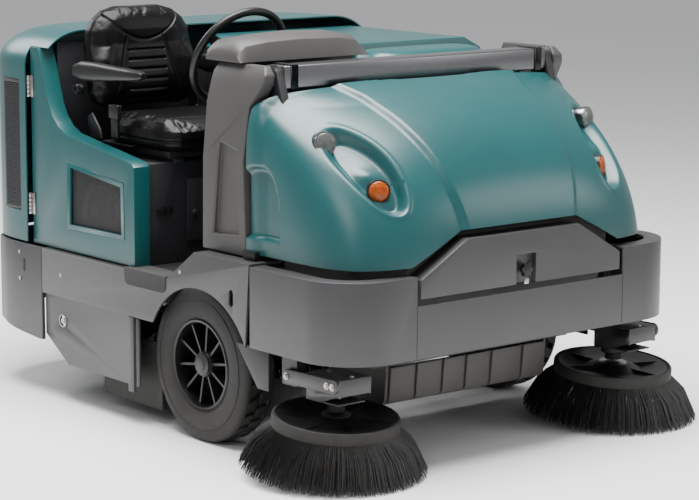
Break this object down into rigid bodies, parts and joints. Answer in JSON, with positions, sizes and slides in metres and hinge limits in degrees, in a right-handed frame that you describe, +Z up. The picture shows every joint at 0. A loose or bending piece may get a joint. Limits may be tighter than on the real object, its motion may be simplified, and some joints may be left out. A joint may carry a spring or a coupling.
{
  "type": "ride-on sweeper",
  "caption": "Ride-on floor sweeper with a lifting front hopper, side and main brushes, an open operator's seat and rear-wheel steering.",
  "frame": {"origin": "on the floor, under the middle of the machine's overall box", "axes": "+Z up; the machine drives towards -Y; its right-hand side, where the operator gets on, is -X"},
  "size_m": [1.92, 2.3738, 1.4877],
  "materials": {
    "teal_body": "moulded, satin",
    "grey_steel": "grey powder coat",
    "grey_plastic": "moulded, fine texture",
    "dark_steel": "dark grey powder coat",
    "black_plastic": "moulded",
    "vinyl": "black vinyl upholstery",
    "tyre": "solid rubber",
    "bristle": "packed bristles",
    "tub_plastic": "moulded, matte",
    "bright_steel": "brushed",
    "iron": "cast",
    "clear_lens": "clear lens",
    "amber_lens": "amber lens",
    "filter_paper": "pleated paper"
  },
  "bodies": {
    "chassis": {"main_frame": "dark_steel", "front_bumper": "grey_steel", "right_fender": "grey_steel", "left_fender": "grey_steel", "rear_bumper": "grey_steel", "operator_floor": "dark_steel", "seat_box": "dark_steel", "right_column": "grey_plastic", "left_column": "grey_plastic", "dash_cowl": "grey_plastic", "dash_panel": "black_plastic", "left_body_cover": "teal_body", "rear_hood": "teal_body", "right_grille": "dark_steel", "engine_block": "iron", "radiator": "dark_steel", "hydraulic_tank": "dark_steel"},
    "lift_arms": {"right_lift_arm": "dark_steel", "left_lift_arm": "dark_steel", "torque_beam": "bright_steel"},
    "hopper": {"hopper_tub": "tub_plastic", "hopper_front_panel": "grey_steel", "dust_filter": "filter_paper"},
    "cover": {"hopper_cover": "teal_body", "right_head_lamp": "clear_lens", "left_head_lamp": "clear_lens", "right_turn_lamp": "amber_lens", "left_turn_lamp": "amber_lens"},
    "latch": {"cover_latch_knob": "black_plastic"},
    "side_door": {"right_door": "teal_body", "right_door_screen": "dark_steel"},
    "right_brush_hatch": {"right_brush_door": "grey_steel"},
    "left_brush_hatch": {"left_brush_door": "grey_steel"},
    "seat_box_hatch": {"seat_box_door": "dark_steel"},
    "steer": {"steer_yoke": "dark_steel"},
    "rear_wheel": {"rear_tyre": "tyre", "rear_rim": "black_plastic"},
    "right_wheel": {"right_front_tyre": "tyre", "right_front_rim": "black_plastic"},
    "left_wheel": {"left_front_tyre": "tyre", "left_front_rim": "black_plastic"},
    "brush_arm": {"main_brush_arm": "dark_steel"},
    "brush_roll": {"main_brush": "bristle"},
    "right_link": {"right_side_link": "grey_steel"},
    "right_head": {"right_side_head": "dark_steel"},
    "right_disc": {"right_side_brush": "bristle"},
    "left_link": {"left_side_link": "grey_steel"},
    "left_head": {"left_side_head": "dark_steel"},
    "left_disc": {"left_side_brush": "bristle"},
    "column": {"steering_column": "black_plastic"},
    "wheel": {"steering_wheel": "black_plastic"},
    "horn": {"horn_button": "black_plastic"},
    "accelerator": {"accelerator_pedal": "black_plastic"},
    "brake": {"brake_pedal": "black_plastic"},
    "seat": {"seat_base": "dark_steel", "seat_cushion": "vinyl"},
    "backrest": {"seat_back": "vinyl"},
    "right_rest": {"right_armrest": "black_plastic"},
    "left_rest": {"left_armrest": "black_plastic"},
    "lumbar": {"lumbar_knob": "black_plastic"}
  },
  "joints": [
    {"name": "hopper_lift", "type": "hinge", "parent": "chassis", "child": "lift_arms", "pos_m": [0, -0.505, 1.275], "axis": [-1, 0, 0], "range_deg": [0, 75]},
    {"name": "hopper_level", "type": "hinge", "parent": "lift_arms", "child": "hopper", "pos_m": [0, -0.93, 0.72], "axis": [-1, 0, 0], "range_deg": [-75, 0]},
    {"name": "cover_open", "type": "hinge", "parent": "hopper", "child": "cover", "pos_m": [0, -0.581, 1.232], "axis": [-1, 0, 0], "range_deg": [0, 55]},
    {"name": "latch_turn", "type": "hinge", "parent": "hopper", "child": "latch", "pos_m": [0.01, -1.078, 0.645], "axis": [0, -1, 0], "range_deg": [0, 90]},
    {"name": "side_door_open", "type": "hinge", "parent": "chassis", "child": "side_door", "pos_m": [-0.772, 0.784, 0.94], "axis": [0, 0, -1], "range_deg": [0, 110]},
    {"name": "right_hatch_open", "type": "hinge", "parent": "chassis", "child": "right_brush_hatch", "pos_m": [-0.776, 0.07, 0.27], "axis": [0, 0, 1], "range_deg": [0, 110]},
    {"name": "left_hatch_open", "type": "hinge", "parent": "chassis", "child": "left_brush_hatch", "pos_m": [0.776, 0.07, 0.27], "axis": [0, 0, -1], "range_deg": [0, 110]},
    {"name": "seat_box_hatch_open", "type": "hinge", "parent": "chassis", "child": "seat_box_hatch", "pos_m": [-0.3, 0.109, 0.75], "axis": [0, 0, 1], "range_deg": [0, 85]},
    {"name": "rear_steer", "type": "hinge", "parent": "chassis", "child": "steer", "pos_m": [0, 0.85, 0.5], "axis": [0, 0, 1], "range_deg": [-70, 70]},
    {"name": "rear_wheel_spin", "type": "hinge", "parent": "steer", "child": "rear_wheel", "pos_m": [0, 0.85, 0.229], "axis": [1, 0, 0], "continuous": true},
    {"name": "right_wheel_spin", "type": "hinge", "parent": "chassis", "child": "right_wheel", "pos_m": [-0.67, -0.24, 0.273], "axis": [1, 0, 0], "continuous": true},
    {"name": "left_wheel_spin", "type": "hinge", "parent": "chassis", "child": "left_wheel", "pos_m": [0.67, -0.24, 0.273], "axis": [1, 0, 0], "continuous": true},
    {"name": "main_brush_lift", "type": "hinge", "parent": "chassis", "child": "brush_arm", "pos_m": [0, 0.6, 0.376], "axis": [-1, 0, 0], "range_deg": [0, 7]},
    {"name": "main_brush_spin", "type": "hinge", "parent": "brush_arm", "child": "brush_roll", "pos_m": [0, 0.36, 0.182], "axis": [1, 0, 0], "continuous": true},
    {"name": "right_side_lift", "type": "hinge", "parent": "chassis", "child": "right_link", "pos_m": [-0.741, -0.745, 0.325], "axis": [-1, 0, 0], "range_deg": [0, 11]},
    {"name": "right_side_level", "type": "hinge", "parent": "right_link", "child": "right_head", "pos_m": [-0.741, -0.985, 0.33], "axis": [-1, 0, 0], "range_deg": [-11, 0]},
    {"name": "right_side_spin", "type": "hinge", "parent": "right_head", "child": "right_disc", "pos_m": [-0.645, -0.88, 0.205], "axis": [0, -0.0872, 0.9962], "continuous": true},
    {"name": "left_side_lift", "type": "hinge", "parent": "chassis", "child": "left_link", "pos_m": [0.741, -0.745, 0.325], "axis": [-1, 0, 0], "range_deg": [0, 11]},
    {"name": "left_side_level", "type": "hinge", "parent": "left_link", "child": "left_head", "pos_m": [0.741, -0.985, 0.33], "axis": [-1, 0, 0], "range_deg": [-11, 0]},
    {"name": "left_side_spin", "type": "hinge", "parent": "left_head", "child": "left_disc", "pos_m": [0.645, -0.88, 0.205], "axis": [0, -0.0872, 0.9962], "continuous": true},
    {"name": "column_tilt", "type": "hinge", "parent": "chassis", "child": "column", "pos_m": [-0.42, -0.25, 1.203], "axis": [1, 0, 0], "range_deg": [-8, 8]},
    {"name": "steering_wheel_turn", "type": "hinge", "parent": "column", "child": "wheel", "pos_m": [-0.42, -0.05, 1.31], "axis": [0, 0.8829, 0.4695], "range_deg": [-900, 900]},
    {"name": "horn_press", "type": "slide", "parent": "wheel", "child": "horn", "axis": [0, -0.8829, -0.4695], "range_m": [0, 0.004], "stiffness_N_per_m": 500, "springref_m": -0.002},
    {"name": "accelerator_press", "type": "hinge", "parent": "chassis", "child": "accelerator", "pos_m": [-0.32, -0.045, 0.577], "axis": [1, 0, 0], "range_deg": [0, 15], "stiffness_Nm_per_rad": 4, "springref_deg": -14.32},
    {"name": "brake_press", "type": "hinge", "parent": "chassis", "child": "brake", "pos_m": [-0.53, -0.045, 0.577], "axis": [1, 0, 0], "range_deg": [0, 15], "stiffness_Nm_per_rad": 6, "springref_deg": -14.32},
    {"name": "seat_slide", "type": "slide", "parent": "chassis", "child": "seat", "axis": [0, 1, 0], "range_m": [-0.1, 0.03]},
    {"name": "backrest_recline", "type": "hinge", "parent": "seat", "child": "backrest", "pos_m": [-0.42, 0.515, 1.04], "axis": [1, 0, 0], "range_deg": [-5, 15]},
    {"name": "right_armrest_flip", "type": "hinge", "parent": "backrest", "child": "right_rest", "pos_m": [-0.698, 0.56, 1.231], "axis": [-1, 0, 0], "range_deg": [0, 90]},
    {"name": "left_armrest_flip", "type": "hinge", "parent": "backrest", "child": "left_rest", "pos_m": [-0.142, 0.56, 1.231], "axis": [-1, 0, 0], "range_deg": [0, 90]},
    {"name": "lumbar_turn", "type": "hinge", "parent": "backrest", "child": "lumbar", "pos_m": [-0.684, 0.575, 1.16], "axis": [-1, 0, 0], "range_deg": [0, 270]}
  ],
  "couplings": [
    {"joint": "hopper_level", "follows": "hopper_lift", "ratio": -1},
    {"joint": "right_side_level", "follows": "right_side_lift", "ratio": -1},
    {"joint": "left_side_level", "follows": "left_side_lift", "ratio": -1},
    {"joint": "steering_wheel_turn", "follows": "rear_steer", "ratio": -12.857}
  ]
}
